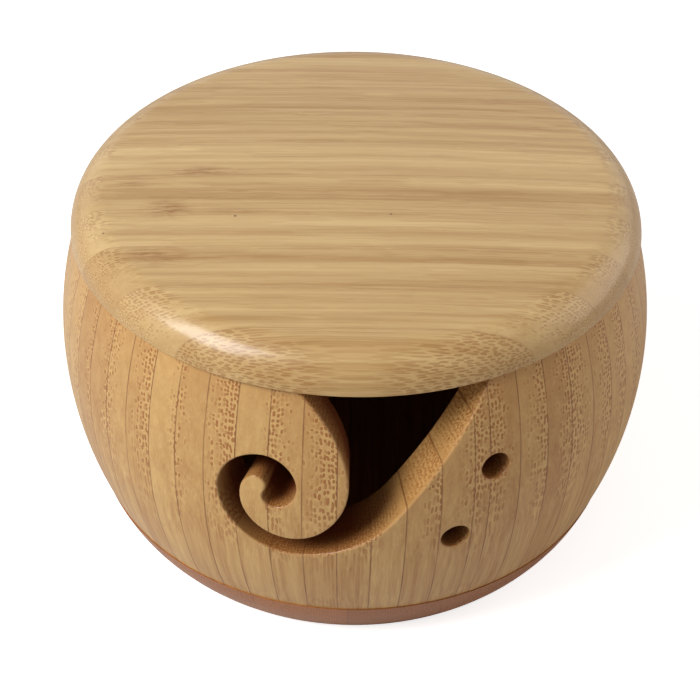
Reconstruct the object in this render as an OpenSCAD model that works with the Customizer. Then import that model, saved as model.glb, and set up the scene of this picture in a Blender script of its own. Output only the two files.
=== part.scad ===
// Round yarn bowl of glued bamboo staves, with a spiral yarn slot, two needle holes and a lift-off lid.
// Millimetres, +Z up. The origin is on the table, under the centre of the foot. The slot faces -Y.

/* [Bowl] */
// Widest diameter of the bowl
bowl_d = 155; // [130:1:200]
// Height of the widest place above the table
belly_z = 53; // [45:1:58]
// Height of the bowl's rim above the table
rim_z = 87; // [82:1:100]
// Radius of the outside curve below the widest place
lower_curve_r = 108; // [90:1:160]
// Radius of the outside curve above the widest place
upper_curve_r = 100; // [85:1:160]
// Thickness of the wall, from the bowl's widest place to the widest place inside
wall = 12.5; // [10:0.5:16]
// Height of the widest place inside
hollow_z = 70; // [64:1:76]
// Radius of the inside curve
hollow_curve_r = 110; // [90:1:160]
// Radius between the inside wall and the floor
floor_corner_r = 18; // [12:1:20]
// Thickness of wood under the floor
floor_h = 10; // [6:0.5:12]

/* [Base] */
// Thickness of the base disc under the staves
base_h = 15; // [13:0.5:19]
// Diameter that rests on the table
foot_d = 125; // [110:1:130]
// Radius of the base disc's rounded edge
foot_curve_r = 40; // [30:1:80]
// How far the base disc's top edge stands out past the staves
base_step = 0.3; // [0:0.1:1]
// Number of strips glued side by side into the base
base_strips = 6; // [4:1:8]
// Width of the base's left strip
base_left_w = 22; // [14:0.5:30]
// Width of the base's right strip
base_right_w = 24; // [14:0.5:30]

/* [Staves] */
// Number of full staves round the bowl
stave_count = 58; // [58:2:62]
// Angle of the narrow stave that closes the ring
fitting_stave_angle = 3; // [2:0.5:5]
// Angle of the narrow stave's left seam, from the front towards the right
fitting_stave_at = 21.8; // [20:0.2:24]

/* [Yarn slot] */
// Distance round the wall from the front to the slot's right end at the rim
slot_right = 35; // [30:1:40]
// Slope of the slot's straight right wall, in degrees
slot_slope = 54; // [50:1:58]
// Length of the slot's straight right wall
slot_straight = 43; // [40:1:46]

/* [Needle holes] */
// Diameter of the needle holes
hole_d = 7.2; // [4:0.2:8]
// How far the upper hole lies below the rim
upper_hole_drop = 23.7; // [20:0.1:26]
// How far the lower hole lies below the rim
lower_hole_drop = 43.4; // [40:0.1:48]
// How far the lower hole lies left of the upper one, round the wall
hole_shift = 9.6; // [6:0.1:12]

/* [Lid] */
// How far the lid's edge stands out past the rim
lid_overhang = 1.3; // [0.5:0.1:3]
// Radius of the lid's rounded edge, which is also its height at the rim
lid_edge_r = 10; // [6:0.5:14]
// Rise of the lid's gentle dome over its rounded edge
lid_dome = 1.2; // [0.6:0.1:4]
// Depth of the plug that holds the lid in the mouth
plug_h = 6; // [3:0.5:8]
// Gap all round between the plug and the mouth
plug_clearance = 0.5; // [0.3:0.1:1]
// Number of strips glued side by side into the lid
lid_strips = 10; // [8:1:14]
// Width of the lid's front strip
lid_front_w = 13; // [8:0.5:20]
// Width of the lid's back strip
lid_back_w = 11; // [8:0.5:20]

/* [Hidden] */
$fn = 128;
dome_fn = 720;              // the dome is a small part of a very large circle
front_staves = 20;          // staves with a node of their own
right_staves = 6;           // those of them that lie right of the narrow stave
staves_per_back_node = 2;

bowl_r = bowl_d / 2;
foot_r = foot_d / 2;
hollow_r = bowl_r - wall;
stave_angle = (360 - fitting_stave_angle) / stave_count;
left_staves = front_staves - right_staves;
back_nodes = (stave_count - front_staves) / staves_per_back_node;

// The other short side of a right triangle
function side_of(long, short) = sqrt(long * long - short * short);

// Radius of the outside at a height
function outside_r(z) =
    let (r = z < belly_z ? lower_curve_r : upper_curve_r)
    bowl_r - r + side_of(r, z - belly_z);

// Radius of the inside wall at a height
function inside_r(z) = hollow_r - hollow_curve_r + side_of(hollow_curve_r, z - hollow_z);

foot_top_r = outside_r(base_h) + base_step;
lid_r = outside_r(rim_z) + lid_overhang;
plug_r = inside_r(rim_z) - plug_clearance;
lid_flat_r = lid_r - lid_edge_r;
lid_h = lid_edge_r + lid_dome;
lid_top_z = rim_z + lid_h;

// The strips between the two outer ones are all as wide as each other
base_strip_w = (2 * foot_top_r - base_left_w - base_right_w) / (base_strips - 2);
lid_strip_w = (2 * lid_r - lid_front_w - lid_back_w) / (lid_strips - 2);

// Arcs that run smoothly into each other cross by this much
crossing = 0.005;

// The dome runs smoothly into the rounded edge
dome_reach = lid_edge_r - crossing;
dome_r = (lid_flat_r * lid_flat_r / (lid_h - dome_reach) + lid_h + dome_reach) / 2;
dome_end_r = lid_flat_r * dome_r / (dome_r - dome_reach);

// The corner arc runs smoothly from the inside curve into the floor
corner_z = floor_h + floor_corner_r;
corner_reach = hollow_curve_r - floor_corner_r + crossing;
corner_r = hollow_r - hollow_curve_r + side_of(corner_reach, hollow_z - corner_z);
join_z = hollow_z - (hollow_z - corner_z) * hollow_curve_r / corner_reach;

// The slot is drawn on the wall unrolled: [distance across from the front, height].
// From the end of the straight wall the outline runs along arcs, each [radius, turn in degrees],
// and every arc leaves in the direction in which the last one ended. Clockwise turns are negative.
slot_arcs = [
    [31, -52],     // bottom of the slot, under the tongue
    [18.5, -85],   // left end of the channel
    [12.3, -87.5], // over the curl
    [8.2, -97],    // right side of the curl's pocket
    [6.7, -71],    // bottom of the pocket
    [2.9, -144],   // end of the pocket, beside the tip
    [2.6, 157],    // round tip of the curl
    [6, 45],       // outside of the curl, from the tip
    [12, 142.5],   // left and bottom of the curl
    [20, 56.5],    // right side of the tongue
    [32, 50]       // from there up to the rim
];
drawn_turn = 0.7393;  // degrees round the bowl for each millimetre across the drawing
point_turn = 15;      // most degrees of turn between two points of the outline
point_gap = 2;        // longest distance between two points of the outline
rim_margin = 4;       // how far the cutters stand over the rim
cut_margin = 3;       // how far they stand out past the wall
cut_depth = 18;       // how far they reach in past the widest place of the hollow
cut_outer_r = bowl_r + cut_margin;
cut_inner_r = hollow_r - cut_depth;

upper_hole_x = slot_right;
lower_hole_x = slot_right - hole_shift;

// Angle from the front of a distance across the drawing
function wall_angle(x) = x * drawn_turn;

// Points of the arcs from arc k on, which starts at p in direction dir
function arc_points(p, dir, k) =
    k == len(slot_arcs) ? [] :
    let (
        r = slot_arcs[k][0],
        turn = slot_arcs[k][1],
        side = sign(turn),
        centre = p + side * r * [-sin(dir), cos(dir)],
        n = ceil(abs(turn) * max(1 / point_turn, r * PI / 180 / point_gap)),
        points = [for (i = [1:n])
            let (a = dir + turn * i / n)
            centre - side * r * [-sin(a), cos(a)]]
    )
    concat(points, arc_points(points[n - 1], dir + turn, k + 1));

slot_dir = 180 + slot_slope;
slot_along = [cos(slot_dir), sin(slot_dir)];
slot_start = [slot_right, rim_z];
straight_steps = ceil(slot_straight / point_gap);
straight_step = slot_straight / straight_steps * slot_along;
straight_points = [for (i = [0:straight_steps]) slot_start + i * straight_step];
slot_curve = arc_points(straight_points[straight_steps], slot_dir, 0);
slot_outline = concat(
    [slot_start - rim_margin * slot_along],
    straight_points,
    slot_curve,
    [[slot_curve[len(slot_curve) - 1][0] - rim_margin, rim_z + rim_margin]]
);
slot_left_angle = wall_angle(min([for (p = slot_outline) p[0]]));
slot_right_angle = wall_angle(slot_right + rim_margin);

function two_digits(i) = str(i < 10 ? "0" : "", i);
function front_name(i) = str("front_stave_", two_digits(i));
function back_name(i) = str("back_staves_", two_digits(i));
function lid_name(i) = str("lid_strip_", two_digits(i));
function base_name(i) = str("base_strip_", i);

// Half section of the space inside the bowl
module hollow_section() {
    intersection() {
        translate([hollow_r - hollow_curve_r, hollow_z]) circle(hollow_curve_r);
        translate([0, join_z]) square([hollow_r, rim_z + rim_margin - join_z]);
    }
    translate([corner_r, corner_z]) circle(floor_corner_r);
    translate([0, floor_h]) square([corner_r, floor_corner_r]);
}

// Half section of the wall, from the base to the rim
module wall_section() {
    difference() {
        union() {
            intersection() {
                translate([bowl_r - lower_curve_r, belly_z]) circle(lower_curve_r);
                translate([0, base_h]) square([bowl_r, belly_z - base_h]);
            }
            intersection() {
                translate([bowl_r - upper_curve_r, belly_z]) circle(upper_curve_r);
                translate([0, belly_z]) square([bowl_r, rim_z - belly_z]);
            }
        }
        hollow_section();
    }
}

// Half section of the base disc, with its edge on an arc from the table up to the staves
module base_section() {
    edge = [foot_top_r - foot_r, base_h];
    half = norm(edge) / 2;
    middle = [foot_r, 0] + edge / 2;
    inward = [-edge[1], edge[0]] / norm(edge);
    difference() {
        intersection() {
            square([bowl_r, base_h]);
            translate(middle + inward * side_of(foot_curve_r, half)) circle(foot_curve_r);
        }
        hollow_section();
    }
    square([foot_r - foot_curve_r / 2, floor_h]);
}

// Half section of the lid: domed top, rounded edge and the plug below
module lid_section() {
    intersection() {
        translate([0, lid_top_z - dome_r]) circle(dome_r, $fn = dome_fn);
        translate([0, rim_z]) square([dome_end_r, lid_h]);
    }
    intersection() {
        translate([lid_flat_r, rim_z]) circle(lid_edge_r);
        translate([lid_flat_r, rim_z]) square(lid_edge_r);
    }
    translate([0, rim_z - plug_h]) square([plug_r, plug_h]);
}

// Cutter for the slot. Its sides point at the bowl's axis, as a tool on a turning table cuts them.
module slot_cutter() {
    plane = [for (p = slot_outline) [cut_inner_r * tan(wall_angle(p[0])), p[1]]];
    depth = cut_outer_r - cut_inner_r;
    spread = [cut_outer_r / cut_inner_r, 1];
    translate([0, -cut_inner_r, 0]) rotate([90, 0, 0])
        linear_extrude(height = depth, scale = spread, slices = 1) polygon(plane);
}

// One needle hole, drilled towards the bowl's axis
module needle_hole(x, z) {
    rotate([0, 0, wall_angle(x)]) translate([0, -cut_inner_r, z]) rotate([90, 0, 0])
        cylinder(d = hole_d, h = cut_outer_r - cut_inner_r);
}

// Part of the ring between two angles from the front, with the cuts that reach it
module ring_part(start, angle) {
    end = start + angle;
    hole_reach = asin(hole_d / 2 / inside_r(rim_z - lower_hole_drop));
    upper_angle = wall_angle(upper_hole_x);
    lower_angle = wall_angle(lower_hole_x);
    difference() {
        rotate([0, 0, start - 90]) rotate_extrude(angle = angle) wall_section();
        if (end > slot_left_angle && start < slot_right_angle)
            slot_cutter();
        if (end > upper_angle - hole_reach && start < upper_angle + hole_reach)
            needle_hole(upper_hole_x, rim_z - upper_hole_drop);
        if (end > lower_angle - hole_reach && start < lower_angle + hole_reach)
            needle_hole(lower_hole_x, rim_z - lower_hole_drop);
    }
}

// Front staves are numbered from left to right
module front_stave(i) {
    left_start = fitting_stave_at - (left_staves - i + 1) * stave_angle;
    right_start = fitting_stave_at + fitting_stave_angle + (i - left_staves - 1) * stave_angle;
    color("burlywood") ring_part(i <= left_staves ? left_start : right_start, stave_angle);
}

module fitting_stave() {
    color("peru") ring_part(fitting_stave_at, fitting_stave_angle);
}

// Back staves carry on from the last front stave. One node holds two alike, far apart, each its own solid.
module back_staves(i) {
    first = fitting_stave_at + fitting_stave_angle + right_staves * stave_angle;
    color("tan") for (k = [0:staves_per_back_node - 1])
        ring_part(first + (i - 1 + k * back_nodes) * stave_angle, stave_angle);
}

// Base strips run from front to back and are numbered from left to right
module base_strip(i) {
    left = i == 1 ? -bowl_r : base_left_w - foot_top_r + (i - 2) * base_strip_w;
    right = i == base_strips ? bowl_r : base_left_w - foot_top_r + (i - 1) * base_strip_w;
    color("peru") intersection() {
        rotate_extrude() base_section();
        translate([left, -bowl_r, 0]) cube([right - left, bowl_d, base_h]);
    }
}

// Lid strips run from left to right and are numbered from the front to the back
module lid_strip(i) {
    front = i == 1 ? -bowl_r : lid_front_w - lid_r + (i - 2) * lid_strip_w;
    back = i == lid_strips ? bowl_r : lid_front_w - lid_r + (i - 1) * lid_strip_w;
    bottom_z = rim_z - plug_h;
    color("burlywood") intersection() {
        rotate_extrude() lid_section();
        translate([-lid_r, front, bottom_z]) cube([2 * lid_r, back - front, lid_top_z - bottom_z]);
    }
}

for (i = [1:front_staves]) front_stave(i);
fitting_stave();
for (i = [1:back_nodes]) back_staves(i);
for (i = [1:base_strips]) base_strip(i);
for (i = [1:lid_strips]) lid_strip(i);
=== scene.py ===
"""Round yarn bowl of glued bamboo staves, with a spiral yarn slot, two needle holes and a lift-off lid."""

import math

import bmesh
import bpy
from mathutils import Matrix, Vector, noise


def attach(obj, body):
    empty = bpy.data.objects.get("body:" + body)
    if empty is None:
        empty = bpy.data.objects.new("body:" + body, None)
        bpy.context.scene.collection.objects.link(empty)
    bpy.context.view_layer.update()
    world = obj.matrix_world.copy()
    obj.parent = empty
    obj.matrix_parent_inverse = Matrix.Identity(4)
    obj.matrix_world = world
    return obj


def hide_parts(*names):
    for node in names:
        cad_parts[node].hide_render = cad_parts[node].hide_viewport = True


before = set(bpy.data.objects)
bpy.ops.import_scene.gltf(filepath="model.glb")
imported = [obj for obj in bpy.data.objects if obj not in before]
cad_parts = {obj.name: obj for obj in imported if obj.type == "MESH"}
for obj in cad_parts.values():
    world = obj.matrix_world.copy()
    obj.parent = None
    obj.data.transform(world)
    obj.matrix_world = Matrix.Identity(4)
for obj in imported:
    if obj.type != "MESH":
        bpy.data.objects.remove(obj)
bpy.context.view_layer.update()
mm = 0.001


# ---------------------------------------------------------------- the view
# The camera looks down at the bowl from the front, close enough for the lid to look wide and the
# foot narrow. The picture is turned a little: the right side hangs lower.
view_down = math.radians(39.3)
view_roll = math.radians(0.703)
view_distance = 480 * mm
view_target = Vector((-1.17, 0, 41.62)) * mm
camera = bpy.data.objects.new("camera", bpy.data.cameras.new("camera"))
bpy.context.scene.collection.objects.link(camera)
bpy.context.scene.camera = camera
camera.data.sensor_width = 36
camera.data.lens = 90.23
camera.location = view_target + view_distance * Vector((0, -math.cos(view_down), math.sin(view_down)))
camera.rotation_euler = (
    Matrix.Rotation(math.pi / 2 - view_down, 3, "X") @ Matrix.Rotation(view_roll, 3, "Z")
).to_euler()
bpy.context.scene.view_settings.view_transform = "Standard"


# ---------------------------------------------------------------- the staves
# The wall is a ring of bamboo planks, glued edge to edge like a bucket that opens upwards and turned on
# a lathe. The fibres run up the planks and lean outwards, so the turned curve cuts across them near
# the rim, where they show as dots, and runs along them further down, as dashes and streaks.
bowl_r = 77.5
belly_z = 53
rim_z = 87
base_h = 15
lower_curve_r = 108
upper_curve_r = 100
hollow_r = 65
hollow_z = 70
hollow_curve_r = 110
floor_h = 10
floor_corner_r = 18
rim_easing = 1.1
mouth_easing = 1.4
full_angle = 357 / 58
fitting_angle = 3
fitting_at = 21.8
stave_parts = 6


def outside_r(z):
    """Radius of the wall's outer face at a height."""
    curve = lower_curve_r if z < belly_z else upper_curve_r
    return bowl_r - curve + math.sqrt(curve**2 - (z - belly_z) ** 2)


def inside_r(z):
    """Radius of the wall's inner face at a height."""
    return hollow_r - hollow_curve_r + math.sqrt(hollow_curve_r**2 - (z - hollow_z) ** 2)


def draw_section(start, path):
    """Draws half a turned section in the XZ plane and fills it.

    A step of the path is a line to (r, z), or an arc (centre r, centre z, turn in degrees, parts).
    """
    section = bmesh.new()
    tip = section.verts.new((start[0] * mm, 0, start[1] * mm))
    for step in path:
        if len(step) == 2:
            tip = bmesh.ops.extrude_vert_indiv(section, verts=[tip])["verts"][0]
            tip.co = (step[0] * mm, 0, step[1] * mm)
        else:
            arc = bmesh.ops.spin(
                section, geom=[tip], cent=(step[0] * mm, 0, step[1] * mm), axis=(0, -1, 0),
                angle=math.radians(step[2]), steps=step[3],
            )
            tip = [part for part in arc["geom_last"] if isinstance(part, bmesh.types.BMVert)][0]
    bmesh.ops.remove_doubles(section, verts=section.verts, dist=0.01 * mm)
    bmesh.ops.contextual_create(section, geom=section.edges[:])
    return section


def angle_at(centre_z, radius, z):
    """Direction in degrees, from the centre of an arc, of its point at a height."""
    return math.degrees(math.asin((z - centre_z) / radius))


def wall_path():
    """Half section of the wall, from the bottom of its outer face round to the same point."""
    upper_x = bowl_r - upper_curve_r
    hollow_x = hollow_r - hollow_curve_r
    rim_turn = angle_at(belly_z, upper_curve_r - rim_easing, rim_z - rim_easing)
    rim_x = upper_x + (upper_curve_r - rim_easing) * math.cos(math.radians(rim_turn))
    mouth_turn = angle_at(hollow_z, hollow_curve_r + mouth_easing, rim_z - mouth_easing)
    mouth_x = hollow_x + (hollow_curve_r + mouth_easing) * math.cos(math.radians(mouth_turn))
    corner_z = floor_h + floor_corner_r
    corner_reach = hollow_curve_r - floor_corner_r
    corner_turn = -angle_at(hollow_z, corner_reach, corner_z)
    corner_x = hollow_x + corner_reach * math.cos(math.radians(corner_turn))
    foot_turn = -angle_at(corner_z, floor_corner_r, base_h)
    low_turn = -angle_at(belly_z, lower_curve_r, base_h)
    return (outside_r(base_h), base_h), [
        (bowl_r - lower_curve_r, belly_z, low_turn, 18),
        (upper_x, belly_z, rim_turn, 16),
        (rim_x, rim_z - rim_easing, 90 - rim_turn, 5),
        (mouth_x, rim_z),
        (mouth_x, rim_z - mouth_easing, 90 + mouth_turn, 6),
        (hollow_x, hollow_z, -mouth_turn - corner_turn, 30),
        (corner_x, corner_z, corner_turn - foot_turn, 5),
        (outside_r(base_h), base_h),
    ]


def turn_section(start, path, from_angle, turn, parts):
    """Turns a half section about the bowl's axis. Angles are in degrees, from the front to the right."""
    body = draw_section(start, path)
    whole = turn >= 360
    first_turn = Matrix.Rotation(math.radians(from_angle - 90), 3, "Z")
    bmesh.ops.rotate(body, verts=body.verts, cent=(0, 0, 0), matrix=first_turn)
    geom = body.verts[:] + body.edges[:] + ([] if whole else body.faces[:])
    if whole:
        bmesh.ops.delete(body, geom=body.faces[:], context="FACES_ONLY")
    bmesh.ops.spin(
        body, geom=geom, cent=(0, 0, 0), axis=(0, 0, 1), angle=math.radians(turn), steps=parts,
        use_merge=whole,
    )
    bmesh.ops.remove_doubles(body, verts=body.verts, dist=0.01 * mm)
    bmesh.ops.recalc_face_normals(body, faces=body.faces)
    return body


def show(name, body):
    """Makes a mesh object of a finished bmesh."""
    mesh = bpy.data.meshes.new(name)
    body.to_mesh(mesh)
    body.free()
    piece = bpy.data.objects.new(name, mesh)
    bpy.context.scene.collection.objects.link(piece)
    return piece


# The slot is cut through the ring on a turning table, so its sides point at the bowl's axis. It comes
# in from the rim, runs round under the tongue and curls to the left. Its edges are sanded round.
slot_right = 35
slot_slope = math.radians(234)
slot_straight = 43
slot_arcs = [
    (31, -52), (18.5, -85), (12.3, -87.5), (8.2, -97), (6.7, -71), (2.9, -144),
    (2.6, 157), (6, 45), (12, 142.5), (20, 56.5), (32, 50),
]
slot_past_rim = 4
line_parts = 14
arc_part_turn = 9
arc_part_length = 1.6
edge_easing = 0.6
hole_r = 3.6
hole_parts = 40
holes = [(35, 63.3), (25.4, 43.6)]


def slot_outline():
    """The slot's outline on the unrolled wall, as points (distance round the wall, height)."""
    outline = bmesh.new()
    heading = slot_slope
    along = Vector((math.cos(heading), 0, math.sin(heading)))
    mouth = Vector((slot_right, 0, rim_z))
    tip = outline.verts.new(mouth - slot_past_rim * along)
    for k in range(line_parts + 1):
        tip = bmesh.ops.extrude_vert_indiv(outline, verts=[tip])["verts"][0]
        tip.co = mouth + along * slot_straight * k / line_parts
    for radius, turn in slot_arcs:
        side = math.copysign(1, turn)
        centre = tip.co + side * radius * Vector((-math.sin(heading), 0, math.cos(heading)))
        length = radius * math.radians(abs(turn))
        parts = max(3, math.ceil(abs(turn) / arc_part_turn), math.ceil(length / arc_part_length))
        arc = bmesh.ops.spin(
            outline, geom=[tip], cent=centre, axis=(0, -1, 0), angle=math.radians(turn), steps=parts
        )
        tip = [part for part in arc["geom_last"] if isinstance(part, bmesh.types.BMVert)][0]
        heading += math.radians(turn)
    end = bmesh.ops.extrude_vert_indiv(outline, verts=[tip])["verts"][0]
    end.co = tip.co + Vector((-slot_past_rim, 0, slot_past_rim))
    points = [(vert.co.x, vert.co.z) for vert in outline.verts]
    outline.free()
    return points


def slot_place(x, z, r):
    """Where a point of the unrolled wall lies at a radius: the slot narrows towards the axis."""
    turn = x / bowl_r
    return r * math.sin(turn), -r * math.cos(turn), z


def hole_place(hole_x):
    """Where a point of the unrolled wall lies at a radius, for a straight hole."""
    turn = hole_x / bowl_r
    outwards = Vector((math.sin(turn), -math.cos(turn), 0))
    across = Vector((math.cos(turn), math.sin(turn), 0))

    def place(x, z, r):
        aside = x - hole_x
        return outwards * math.sqrt(r * r - aside * aside) + across * aside + Vector((0, 0, z))

    return place


def cutter(name, outline, place):
    """A cutter through the wall, flared where it leaves either face so that the edges come out round."""
    far_out, far_in, clear = 92, 44, 1.5
    count = len(outline)
    area = sum(
        outline[k - 1][0] * outline[k][1] - outline[k][0] * outline[k - 1][1] for k in range(count)
    )
    normals = []
    for k in range(count):
        before, after = outline[k - 1], outline[(k + 1) % count]
        normal = Vector((after[1] - before[1], before[0] - after[0])).normalized()
        normals.append(normal * math.copysign(1, area))
    flares = []
    for degrees in range(0, 91, 18):
        turn = math.radians(degrees)
        flares.append((edge_easing * (1 - math.cos(turn)), edge_easing * (1 - math.sin(turn))))
    rings = [("plane", far_out, edge_easing), ("out", -clear, edge_easing)]
    rings += [("out", depth, flare) for depth, flare in flares]
    rings += [("in", depth, flare) for depth, flare in reversed(flares)]
    rings += [("in", -clear, edge_easing), ("plane", far_in, edge_easing)]
    body = bmesh.new()
    verts = [body.verts.new() for _ in outline]
    ring = [body.edges.new((verts[k - 1], verts[k])) for k in range(count)]
    bmesh.ops.contextual_create(body, geom=ring)
    for number, (kind, depth, flare) in enumerate(rings):
        if number:
            made = bmesh.ops.extrude_edge_only(body, edges=ring)["geom"]
            ring = [part for part in made if isinstance(part, bmesh.types.BMEdge)]
            fresh = {part for part in made if isinstance(part, bmesh.types.BMVert)}
            verts = [
                next(edge.other_vert(vert) for edge in vert.link_edges if edge.other_vert(vert) in fresh)
                for vert in verts
            ]
        for vert, (x, z), normal in zip(verts, outline, normals):
            x, z = x + normal.x * flare, z + normal.y * flare
            if kind == "out":
                r = outside_r(z) - depth
            elif kind == "in":
                r = inside_r(z) + depth
            else:
                r = depth / math.cos(x / bowl_r)
            vert.co = Vector(place(x, z, r)) * mm
    bmesh.ops.contextual_create(body, geom=ring)
    bmesh.ops.recalc_face_normals(body, faces=body.faces)
    return show(name, body)


def cut_away(piece, tool):
    """Takes the tool's shape out of a piece, for good."""
    cut = piece.modifiers.new("cut", "BOOLEAN")
    cut.operation = "DIFFERENCE"
    cut.solver = "EXACT"
    cut.object = tool
    shaped = bpy.data.meshes.new_from_object(piece.evaluated_get(bpy.context.evaluated_depsgraph_get()))
    piece.modifiers.clear()
    piece.data = shaped


slot_tool = cutter("slot_tool", slot_outline(), slot_place)
circle = [math.radians(360 * k / hole_parts) for k in range(hole_parts)]
hole_tools = [
    cutter("hole_tool", [(x + hole_r * math.cos(t), z + hole_r * math.sin(t)) for t in circle], hole_place(x))
    for x, z in holes
]


def lay_grain(piece, place, tone, bundles):
    """Stores where each point lies in its strip of bamboo: across, along, deep, in millimetres.

    glue is the distance to the nearest glued joint, depth that below the wall's outer face, tone how
    dark the strip is, bundles how many of the brown fibre bundles show in it, cut how squarely the
    surface cuts across the fibres, and the last attribute how much painted shade darkens the sides of a
    cut, inside the slot, the holes and the curl under the tongue. The top of the rim gets no painted shade.
    """
    rim_band = 2 * mm
    mesh = piece.data
    mesh.shade_smooth()
    mesh.set_sharp_from_angle(angle=math.radians(35))
    for name in ("glue", "depth", "tone", "bundles"):
        mesh.attributes.new(name, "FLOAT", "POINT")
    mesh.attributes.new("grain", "FLOAT_VECTOR", "POINT")
    mesh.attributes.new("cut", "FLOAT", "CORNER")
    mesh.attributes.new("recess_shade", "FLOAT", "CORNER")
    grains, glues, fibres, depths, point_shades = zip(*(place(point.co / mm) for point in mesh.vertices))
    outwards = [Vector((point.co.x, point.co.y, 0)).normalized() for point in mesh.vertices]
    mesh.attributes["grain"].data.foreach_set("vector", [number for grain in grains for number in grain])
    mesh.attributes["glue"].data.foreach_set("value", glues)
    mesh.attributes["depth"].data.foreach_set("value", depths)
    for name, value in (("tone", tone), ("bundles", bundles)):
        mesh.attributes[name].data.foreach_set("value", [value] * len(mesh.vertices))
    # Painted shade: the sides of a cut, which face neither out nor in, take the painted shade that place
    # gives them; the top of the rim takes none.
    cuts, recess_shades = [], []
    for corner, normal in zip(mesh.loops, mesh.corner_normals):
        at = corner.vertex_index
        cuts.append(abs(fibres[at].dot(normal.vector)))
        aside = 1 - abs(outwards[at].dot(normal.vector))
        on_rim = normal.vector.z > 0.5 and mesh.vertices[at].co.z > rim_z * mm - rim_band
        recess_shades.append(0 if on_rim else point_shades[at] * min(1, 2 * aside))
    mesh.attributes["cut"].data.foreach_set("value", cuts)
    mesh.attributes["recess_shade"].data.foreach_set("value", recess_shades)


def srgb(red, green, blue):
    """A colour as seen on a screen, 0 to 255, as the linear colour that a shader takes."""
    return [((c / 255 + 0.055) / 1.055) ** 2.4 if c > 10 else c / 3295 for c in (red, green, blue)] + [1]


def node_adder(tree):
    """A short way to add a node to a tree, with its settings, its values and its links."""

    def add(kind, inputs=None, **settings):
        node = tree.nodes.new(kind)
        for key, value in settings.items():
            setattr(node, key, value)
        for key, value in (inputs or {}).items():
            if isinstance(value, bpy.types.NodeSocket):
                tree.links.new(value, node.inputs[key])
            else:
                node.inputs[key].default_value = value
        return node

    return add


def start_material(name):
    """A new material, its shader, and the way to add nodes to it."""
    material = bpy.data.materials.new(name)
    material.use_nodes = True
    return material, material.node_tree.nodes["Principled BSDF"], node_adder(material.node_tree)


def ramp(add, factor, *stops):
    """A grey or coloured ramp with the given (place, colour) stops. Returns its colour."""
    node = add("ShaderNodeValToRGB", {"Fac": factor})
    for place, colour in stops[2:]:
        node.color_ramp.elements.new(place)
    for element, (place, colour) in zip(node.color_ramp.elements, stops):
        element.position = place
        element.color = colour if not isinstance(colour, (int, float)) else (colour, colour, colour, 1)
    return node.outputs["Color"]


def mix(add, factor, under, over, blend="MIX"):
    """Two colours mixed. Returns the colour."""
    node = add("ShaderNodeMix", {"Factor": factor, "A": under, "B": over}, data_type="RGBA", blend_type=blend)
    return node.outputs["Result"]


def math_node(add, operation, *values, clamp=False):
    """A sum of one to three numbers. Returns the number."""
    return add("ShaderNodeMath", dict(enumerate(values)), operation=operation, use_clamp=clamp).outputs[0]


def vector_node(add, operation, *values):
    """A sum of two vectors. Returns the vector."""
    return add("ShaderNodeVectorMath", dict(enumerate(values)), operation=operation).outputs[0]


def spread(add, value, low, high, start=0.0, end=1.0, **settings):
    """A number between low and high, spread over start to end and held beyond. Returns the number."""
    return add("ShaderNodeMapRange", {0: value, 1: low, 2: high, 3: start, 4: end}, **settings).outputs[0]


def noise_node(add, at, detail, roughness=0.5, scale=1.0):
    """Soft noise at a place."""
    return add("ShaderNodeTexNoise", {"Vector": at, "Scale": scale, "Detail": detail, "Roughness": roughness})


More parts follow.
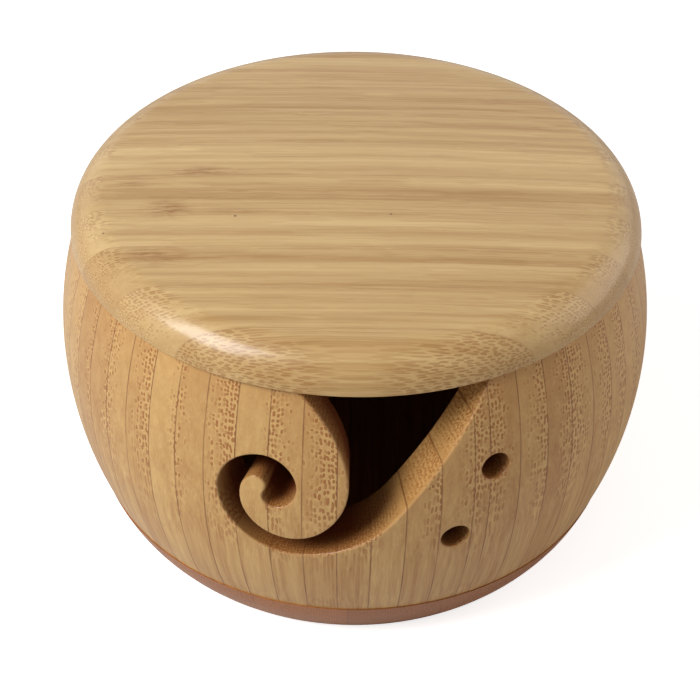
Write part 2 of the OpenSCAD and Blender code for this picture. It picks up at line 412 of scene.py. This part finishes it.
def bamboo(
    name, light, dark, bundle_brown, bundle_pitch, bundle_depth, bundle_least, bundle_cut, half_width,
    fibre_size, fibre_depth, streak_size, streak_depth, soak, glue_shows, coat,
):
    """Lacquered bamboo, seen as the strip's own grain: fine fibres, streaks, bundles and glue lines, and
    painted shade on the sides of cuts.

    Sizes are (across, along) in millimetres. A depth is how strong a mark is. bundle_cut is the
    range of cut over which the bundles come out from bundle_least to full, and soak how much
    browner the end grain gets.
    """
    material, shader, add = start_material(name)
    grain = add("ShaderNodeAttribute", attribute_name="grain").outputs["Vector"]
    glue, depth, tone, bundles, cut, recess_shade = [
        add("ShaderNodeAttribute", attribute_name=each).outputs["Fac"]
        for each in ("glue", "depth", "tone", "bundles", "cut", "recess_shade")
    ]

    # Fibres waver a little on their way up the strip
    slow = vector_node(add, "MULTIPLY", grain, (0.22, 0.06, 0.22))
    drift = noise_node(add, slow, detail=2.0).outputs["Color"]
    drift = vector_node(add, "SUBTRACT", drift, (0.5, 0.5, 0.5))
    drift = vector_node(add, "MULTIPLY", drift, (0.8, 0, 2.0))
    place = vector_node(add, "ADD", grain, drift)

    def grain_noise(size, detail):
        across, along = 1 / size[0], 1 / size[1]
        at = vector_node(add, "MULTIPLY", place, (across, along, across))
        return noise_node(add, at, detail, roughness=0.62).outputs["Fac"]

    # Streaks are clear where the surface runs along the fibres, and fade on end grain
    fibres = grain_noise(fibre_size, 4)
    streaks = grain_noise(streak_size, 3)
    along = spread(add, cut, 0.1, 0.6, 1.0, 0.35)
    shade = math_node(add, "MULTIPLY", math_node(add, "SUBTRACT", fibres, 0.5), fibre_depth)
    shade = math_node(add, "MULTIPLY_ADD", math_node(add, "SUBTRACT", streaks, 0.5), streak_depth, shade)
    shade = math_node(add, "MULTIPLY_ADD", shade, along, 0.45)
    shade = math_node(add, "ADD", shade, tone, clamp=True)
    colour = ramp(add, shade, (0.0, srgb(*light)), (1.0, srgb(*dark)))

    # The bundles crowd towards one side of the strip, and fill all of its end grain and cut walls
    parts = add("ShaderNodeSeparateXYZ", {0: place})
    across = add("ShaderNodeSeparateXYZ", {0: grain}).outputs["X"]
    crowd = math_node(add, "ADD", spread(add, across, -half_width, half_width, -0.75, 0.75), bundles)
    end_grain = math_node(add, "MAXIMUM", spread(add, cut, 0.62, 0.74), spread(add, depth, 0.2, 1.2))
    crowd = math_node(add, "MULTIPLY_ADD", end_grain, 0.8, crowd)
    shows = spread(add, cut, bundle_cut[0], bundle_cut[1], bundle_least, 1.0)

    def bundle_spots(size):
        """Brown spots with a darker rim, and the pale rings of soft pith round them."""
        at = add("ShaderNodeCombineXYZ", {
            0: math_node(add, "MULTIPLY", parts.outputs["X"], 1 / (size * bundle_pitch[0])),
            1: math_node(add, "MULTIPLY", parts.outputs["Z"], 1 / (size * bundle_pitch[1])),
        }).outputs[0]
        cells = add(
            "ShaderNodeTexVoronoi", {"Vector": at, "Scale": 1.0, "Randomness": 0.6}, voronoi_dimensions="2D"
        )
        chance = add("ShaderNodeSeparateColor", {0: cells.outputs["Color"]}).outputs["Red"]
        present = math_node(add, "MULTIPLY", math_node(add, "SUBTRACT", crowd, chance), 1.5, clamp=True)
        present = math_node(add, "MULTIPLY", present, shows)
        spot = ramp(add, cells.outputs["Distance"], (0.0, 0.9), (0.14, 0.6), (0.27, 1.0), (0.41, 0.0))
        ring = ramp(add, cells.outputs["Distance"], (0.34, 0.0), (0.46, 1.0), (0.8, 0.5))
        return math_node(add, "MULTIPLY", spot, present), math_node(add, "MULTIPLY", ring, present)

    brown, pith = [
        add("ShaderNodeMix", {"Factor": end_grain, "A": wide, "B": fine}).outputs["Result"]
        for wide, fine in zip(bundle_spots(1.0), bundle_spots(0.72))
    ]
    colour = mix(add, math_node(add, "MULTIPLY", pith, 0.5 * bundle_depth), colour, srgb(*light))
    brown = math_node(add, "MULTIPLY", brown, bundle_depth)
    colour = mix(add, brown, colour, srgb(*bundle_brown))

    # End grain drinks more lacquer.
    colour = mix(add, spread(add, cut, 0.45, 0.9, 0.0, soak), colour, (0.84, 0.62, 0.34, 1), "MULTIPLY")
    # Painted shade: the sides of cuts darken towards a deep red-brown, more the deeper they lie below the
    # outer face, standing in for the shade inside the slot, the holes and the curl under the tongue.
    shade_by_depth = spread(add, depth, 0.3, 7.0, 0.4, 1.0)
    colour = mix(add, math_node(add, "MULTIPLY", shade_by_depth, recess_shade), colour, srgb(92, 28, 6))

    # The glue shows as a thin dark line that fades in and out along the joint
    broken = noise_node(add, grain, detail=3, scale=0.09).outputs["Fac"]
    broken = spread(add, broken, 0.35, 0.6, glue_shows[0], glue_shows[1])
    line = spread(add, glue, 0.05, 0.24, 1, 0)
    colour = mix(add, math_node(add, "MULTIPLY", line, broken), colour, srgb(112, 62, 24))

    relief = math_node(add, "MULTIPLY_ADD", brown, -0.6, fibres)
    bump = add("ShaderNodeBump", {"Height": relief, "Strength": 0.12, "Distance": 0.12 * mm})
    shader.inputs["Roughness"].default_value = 0.5
    shader.inputs["Specular IOR Level"].default_value = 0.35
    shader.inputs["Coat Weight"].default_value = coat
    shader.inputs["Coat Roughness"].default_value = 0.2
    material.node_tree.links.new(bump.outputs[0], shader.inputs["Normal"])
    material.node_tree.links.new(colour, shader.inputs["Base Color"])
    return material, shader, add, colour


stave_bamboo = bamboo(
    "stave_bamboo", light=(218, 182, 117), dark=(150, 90, 30), bundle_brown=(142, 76, 16),
    bundle_pitch=(0.95, 0.62), bundle_depth=0.9, bundle_least=0.08, bundle_cut=(0.02, 0.3), half_width=4.2,
    fibre_size=(0.45, 22), fibre_depth=0.65, streak_size=(2.0, 90), streak_depth=0.9,
    soak=0.5, glue_shows=(0.35, 0.9), coat=0.3,
)[0]

# Tone and bundles of the front staves, from left to right
front_looks = {
    1: (0.14, 0.35), 2: (0.10, 0.30), 3: (0.02, 0.35), 4: (0.06, 0.75), 5: (-0.06, 0.0), 6: (0.04, 0.2),
    7: (0.04, 1.00), 8: (-0.05, -0.1), 9: (0.04, 0.65), 10: (0.08, 1.00), 11: (0.06, 0.90), 12: (0.02, 0.2),
    13: (0.10, 0.45), 14: (0.08, 0.35), "fitting": (0.14, 1.10), 15: (0.16, 0.70), 16: (0.06, 0.65),
    17: (0.17, 0.60), 18: (0.04, 0.80), 19: (0.08, 0.80), 20: (0.02, 0.70),
}
lean = math.radians(14)
# How strongly painted shade darkens the sides of the cuts: a little everywhere, more and more towards the
# curl under the tongue, and most inside the holes, standing in for the shade there.
least_recess_shade, curl_recess_shade, hole_recess_shade = 0.12, 0.78, 0.9
curl_shade_from, curl_shade_over = 15, 16


def make_stave(name, starts, angle, seed, tone, bundles, tools=()):
    """One stave, or two that share a name, between its glued joints."""
    body = bmesh.new()
    for start in starts:
        part = turn_section(*wall_path(), start, angle, stave_parts)
        mesh = bpy.data.meshes.new(name)
        part.to_mesh(mesh)
        part.free()
        body.from_mesh(mesh)
        bpy.data.meshes.remove(mesh)
    piece = show(name, body)
    for tool in tools:
        cut_away(piece, tool)
    side = 1 if seed % 3 else -1
    along_shift, deep_shift, twin_shift = 211, 17, 30

    def place(point):
        turn = math.degrees(math.atan2(point.x, -point.y))
        offs = [(turn - start - angle / 2 + 180) % 360 - 180 for start in starts]
        number = min(range(len(offs)), key=lambda k: abs(offs[k]))
        off = math.radians(offs[number])
        reach = math.hypot(point.x, point.y)
        glue = reach * (math.radians(angle / 2) - abs(off))
        out = reach * math.cos(off)
        along = point.z * math.cos(lean) + out * math.sin(lean)
        deep = out * math.cos(lean) - point.z * math.sin(lean)
        grain = (
            side * reach * math.sin(off),
            along + along_shift * (seed + twin_shift * number),
            deep + deep_shift * seed,
        )
        middle = math.radians(starts[number] + angle / 2)
        fibre = Vector((
            math.sin(middle) * math.sin(lean), -math.cos(middle) * math.sin(lean), math.cos(lean)
        ))
        depth = outside_r(point.z) - reach
        if not tools:
            return grain, glue, fibre, depth, 0
        # Painted shade for the sides of the cuts, growing towards the curl under the tongue and strongest
        # inside the holes.
        round_wall = bowl_r * math.radians(turn)
        recess_shade = least_recess_shade + curl_recess_shade * min(1, max(0, (curl_shade_from - round_wall) / curl_shade_over))
        for x, z in holes:
            outwards = Vector((math.sin(x / bowl_r), -math.cos(x / bowl_r), 0))
            if (point - Vector((0, 0, z))).cross(outwards).length < hole_r + edge_easing:
                recess_shade = hole_recess_shade
        return grain, glue, fibre, depth, recess_shade

    lay_grain(piece, place, tone, bundles)
    piece.data.materials.append(stave_bamboo)
    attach(piece, "bowl")
    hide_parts(name.replace("_wood", ""))


front_staves = 20
staves_left = 14
back_pairs = 19
slot_from, slot_to = -28, math.degrees(40 / bowl_r)
for number in range(1, front_staves + 1):
    if number <= staves_left:
        start = fitting_at - (staves_left + 1 - number) * full_angle
    else:
        start = fitting_at + fitting_angle + (number - staves_left - 1) * full_angle
    tools = [slot_tool] if start + full_angle > slot_from and start < slot_to else []
    tools += [hole_tools[1]] if number == staves_left else []
    tools += [hole_tools[0]] if number == staves_left + 1 else []
    tone, bundles = front_looks[number]
    make_stave(f"front_stave_{number:02d}_wood", [start], full_angle, number, tone, bundles, tools)
all_tools = [slot_tool] + hole_tools
make_stave("fitting_stave_wood", [fitting_at], fitting_angle, 21, *front_looks["fitting"], all_tools)
for number in range(1, back_pairs + 1):
    first = fitting_at + fitting_angle + (front_staves - staves_left - 1 + number) * full_angle
    starts = [first, first + back_pairs * full_angle]
    tone = 0.12 * noise.noise(Vector((number * 1.7, 0.3, 0)))
    bundles = 0.4 + 0.45 * noise.noise(Vector((number * 2.3, 5.1, 0)))
    make_stave(f"back_staves_{number:02d}_wood", starts, full_angle, 22 + number, tone, bundles)
for tool in all_tools:
    bpy.data.objects.remove(tool)


# ---------------------------------------------------------------- the base
# The base is a disc of six bamboo strips that run from front to back, so its front shows end grain,
# which drinks more lacquer and looks redder. Its edge is turned round and it carries the staves.
foot_r = 62.5
foot_curve_r = 40
base_step = 0.3
foot_easing = 1.2
base_strips = 6
base_left_w = 22
base_right_w = 24
foot_top_r = outside_r(base_h) + base_step
base_strip_w = (2 * foot_top_r - base_left_w - base_right_w) / (base_strips - 2)
sole_rings = (30, 50)
floor_ring = 20
beyond = 80


def base_path():
    """Half section of the base: sole, rounded edge, the seat of the staves and the bowl's floor."""
    rise = Vector((foot_top_r - foot_r, base_h))
    inward = Vector((-rise.y, rise.x)).normalized()
    centre = Vector((foot_r, 0)) + rise / 2 + inward * math.sqrt(foot_curve_r**2 - rise.length_squared / 4)
    end_turn = angle_at(centre.y, foot_curve_r, base_h)
    low_turn = angle_at(centre.y, foot_curve_r - foot_easing, foot_easing)
    low_x = centre.x + (foot_curve_r - foot_easing) * math.cos(math.radians(low_turn))
    corner_z = floor_h + floor_corner_r
    corner_reach = hollow_curve_r - floor_corner_r
    corner_x = hollow_r - hollow_curve_r + math.sqrt(corner_reach**2 - (hollow_z - corner_z) ** 2)
    corner_turn = angle_at(corner_z, floor_corner_r, base_h)
    inner_r = corner_x + floor_corner_r * math.cos(math.radians(corner_turn))
    return (0, 0), [
        (sole_rings[0], 0), (sole_rings[1], 0), (low_x, 0),
        (low_x, foot_easing, 90 + low_turn, 5),
        (centre.x, centre.y, end_turn - low_turn, 8),
        (inner_r, base_h),
        (corner_x, corner_z, -90 - corner_turn, 8),
        (floor_ring, floor_h), (0, floor_h), (0, 0),
    ]


def saw_strip(whole, axis, low, high):
    """A copy of a turned body, sawn down to one strip between two planes, with the cuts closed."""
    strip = whole.copy()
    for sawn_at, side in ((low, -1), (high, 1)):
        at = [0, 0, 0]
        normal = [0, 0, 0]
        at[axis] = sawn_at * mm
        normal[axis] = side
        geom = strip.verts[:] + strip.edges[:] + strip.faces[:]
        sawn = bmesh.ops.bisect_plane(
            strip, geom=geom, dist=0.001 * mm, plane_co=at, plane_no=normal, clear_outer=True
        )
        cut = [part for part in sawn["geom_cut"] if isinstance(part, bmesh.types.BMEdge)]
        if cut:
            bmesh.ops.edgenet_fill(strip, edges=cut)
    bmesh.ops.remove_doubles(strip, verts=strip.verts, dist=0.001 * mm)
    bmesh.ops.recalc_face_normals(strip, faces=strip.faces)
    return strip


base_bamboo = bamboo(
    "base_bamboo", light=(188, 124, 66), dark=(120, 66, 28), bundle_brown=(96, 50, 24),
    bundle_pitch=(0.9, 0.8), bundle_depth=0.5, bundle_least=0.1, bundle_cut=(0.06, 0.34), half_width=12,
    fibre_size=(0.5, 30), fibre_depth=0.8, streak_size=(2.2, 90), streak_depth=0.9,
    soak=0.3, glue_shows=(0.2, 0.6), coat=0.3,
)[0]
base_body = turn_section(*base_path(), 0, 360, 180)
base_tones = [0.0, -0.05, -0.12, 0.12, 0.08, 0.15]
base_bundles = 0.7
base_shift = Vector((0, 400, 31))
for number in range(1, base_strips + 1):
    left = -foot_top_r + base_left_w + (number - 2) * base_strip_w
    low = left if number > 1 else -beyond
    high = left + base_strip_w if number < base_strips else beyond
    piece = show(f"base_strip_{number}_wood", saw_strip(base_body, 0, low, high))

    def place(point, low=left, number=number):
        across = point.x - low - base_strip_w / 2
        grain = Vector((across, point.y, point.z)) + number * base_shift
        return grain, base_strip_w / 2 - abs(across), Vector((0, 1, 0)), 0, 0

    lay_grain(piece, place, base_tones[number - 1], base_bundles)
    piece.data.materials.append(base_bamboo)
    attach(piece, "bowl")
    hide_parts(f"base_strip_{number}")
base_body.free()


# ---------------------------------------------------------------- the lid
# The lid is a board of ten bamboo strips that run from left to right, turned with a rounded edge and
# a plug underneath that sits in the bowl's mouth. It has no knob and lifts off by its edge.
lid_overhang = 1.3
lid_edge_r = 10
lid_dome = 1.2
plug_h = 6
plug_clearance = 0.5
plug_easing = 0.8
plug_ring = 30
lid_strips = 10
lid_front_w = 13
lid_back_w = 11
lid_easing = 0.6
lid_r = outside_r(rim_z) + lid_overhang
lid_strip_w = (2 * lid_r - lid_front_w - lid_back_w) / (lid_strips - 2)
plug_r = inside_r(rim_z) - plug_clearance


def lid_path():
    """Half section of the lid: plug, rim seat, rounded edge and the gentle dome."""
    flat_r = lid_r - lid_edge_r
    dome_r = (flat_r**2 + lid_dome**2) / (2 * lid_dome)
    dome_turn = math.degrees(math.asin(flat_r / dome_r))
    low_turn = math.degrees(math.asin(lid_easing / lid_edge_r))
    low_x = flat_r + lid_edge_r * math.cos(math.radians(low_turn))
    plug_z = rim_z - plug_h
    return (0, plug_z), [
        (plug_ring, plug_z), (plug_r - plug_easing, plug_z),
        (plug_r - plug_easing, plug_z + plug_easing, 90, 4),
        (plug_r, rim_z), (low_x - lid_easing, rim_z),
        (low_x, rim_z + lid_easing),
        (flat_r, rim_z, 90 - low_turn, 24),
        (0, rim_z + lid_edge_r + lid_dome - dome_r, dome_turn, 22),
        (0, plug_z),
    ]


lid_bamboo, shader, add, colour = bamboo(
    "lid_bamboo", light=(216, 185, 128), dark=(150, 104, 36), bundle_brown=(138, 86, 26),
    bundle_pitch=(0.72, 0.62), bundle_depth=0.55, bundle_least=0.12, bundle_cut=(0.0, 0.18), half_width=7.6,
    fibre_size=(0.45, 60), fibre_depth=0.6, streak_size=(3.8, 220), streak_depth=1.5,
    soak=0.15, glue_shows=(0.0, 0.25), coat=0.6,
)

# Brown smudges mark the knots of the cane, and a few dark specks lie on the top: the place of each
# (x, y), its half length, its half width and how strong it is
knots = [
    (-40, 2.5, 12, 2.6, 0.8), (-47, -14, 7, 5, 0.95), (-48, -33, 9, 4, 0.9),
    (-57, -2, 6, 4.5, 0.5), (-30, -15, 8, 1.7, 0.5),
]
specks = [(-29.8, -17.2, 0.45, 0.45, 0.8), (8.5, -16, 0.4, 0.4, 0.8), (-61.6, -23.4, 0.4, 0.4, 0.7)]
mark_z, mark_height = 97.5, 5
place = add("ShaderNodeTexCoord").outputs["Object"]
feather = noise_node(add, vector_node(add, "MULTIPLY", place, (140, 900, 900)), detail=4, roughness=0.7)
feather = spread(add, feather.outputs["Fac"], 0.38, 0.62)
for x, y, long, wide, strength in knots + specks:
    at = vector_node(add, "ADD", place, Vector((-x, -y, -mark_z)) * mm)
    at = vector_node(add, "MULTIPLY", at, (1 / long / mm, 1 / wide / mm, 1 / mark_height / mm))
    off = add("ShaderNodeVectorMath", {0: at}, operation="LENGTH").outputs["Value"]
    if (x, y, long, wide, strength) in knots:
        mark = spread(add, off, 1.3, 0.1, 0, strength, interpolation_type="SMOOTHSTEP")
        colour = mix(add, math_node(add, "MULTIPLY", mark, feather), colour, srgb(140, 88, 24))
    else:
        colour = mix(add, spread(add, off, 1.0, 0.6, 0, strength), colour, srgb(90, 60, 36))
lid_bamboo.node_tree.links.new(colour, shader.inputs["Base Color"])

lid_body = turn_section(*lid_path(), 0, 360, 180)
lid_tones = [0.16, 0.0, 0.10, -0.08, 0.02, -0.06, 0.04, 0.12, -0.02, 0.08]
lid_bundles = [1.6, 0.9, 0.7, 0.8, 0.7, 0.7, 0.6, 0.6, 0.7, 0.6]
lid_shift = Vector((0, 500, 43))
for number in range(1, lid_strips + 1):
    left = -lid_r + lid_front_w + (number - 2) * lid_strip_w
    low = left if number > 1 else -beyond
    high = left + lid_strip_w if number < lid_strips else beyond
    piece = show(f"lid_strip_{number:02d}_wood", saw_strip(lid_body, 1, low, high))

    def place(point, low=left, number=number):
        across = point.y - low - lid_strip_w / 2
        grain = Vector((across, point.x, point.z)) + number * lid_shift
        return grain, lid_strip_w / 2 - abs(across), Vector((1, 0, 0)), 0, 0

    lay_grain(piece, place, lid_tones[number - 1], lid_bundles[number - 1])
    piece.data.materials.append(lid_bamboo)
    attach(piece, "lid")
    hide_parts(f"lid_strip_{number:02d}")
lid_body.free()


# ---------------------------------------------------------------- floor and light
# A plain pale table, white to the camera where no shadow falls, and broad soft lights: the main one
# from the left front, a weak warm one from the right and a little behind.
floor_body = bmesh.new()
bmesh.ops.create_grid(floor_body, x_segments=1, y_segments=1, size=3)
floor = show("floor", floor_body)
floor_material, shader, add = start_material("pale_table")
shader.inputs["Base Color"].default_value = (0.7, 0.7, 0.7, 1)
shader.inputs["Roughness"].default_value = 0.9
shader.inputs["Emission Color"].default_value = (1, 1, 1, 1)
seen = add("ShaderNodeLightPath").outputs["Is Camera Ray"]
glow = math_node(add, "MULTIPLY", seen, 0.75)
floor_material.node_tree.links.new(glow, shader.inputs["Emission Strength"])
floor.data.materials.append(floor_material)

# The room is white where it is seen or mirrored, and lights the bowl much less
world = bpy.data.worlds.new("room")
bpy.context.scene.world = world
world.use_nodes = True
background = world.node_tree.nodes["Background"]
background.inputs["Color"].default_value = (1, 1, 1, 1)
add = node_adder(world.node_tree)
rays = add("ShaderNodeLightPath").outputs
straight = math_node(add, "MAXIMUM", rays["Is Camera Ray"], rays["Is Glossy Ray"])
straight = math_node(add, "MAXIMUM", straight, rays["Is Transmission Ray"])
level = spread(add, straight, 0, 1, 0.27, 1.0)
world.node_tree.links.new(level, background.inputs["Strength"])


def soft_light(name, place, size, power, colour):
    """A square soft light that faces the bowl."""
    lamp = bpy.data.objects.new(name, bpy.data.lights.new(name, "AREA"))
    bpy.context.scene.collection.objects.link(lamp)
    lamp.data.size = size
    lamp.data.energy = power
    lamp.data.color = colour
    lamp.location = place
    lamp.rotation_euler = (Vector((0, 0, 0.06)) - lamp.location).to_track_quat("-Z", "Y").to_euler()


soft_light("window", Vector((-0.80, -0.42, 0.92)), 0.6, 14.6, (1.0, 0.98, 0.97))
soft_light("wall", Vector((1.1, 0.25, 0.45)), 0.9, 4.5, (1.0, 0.84, 0.70))
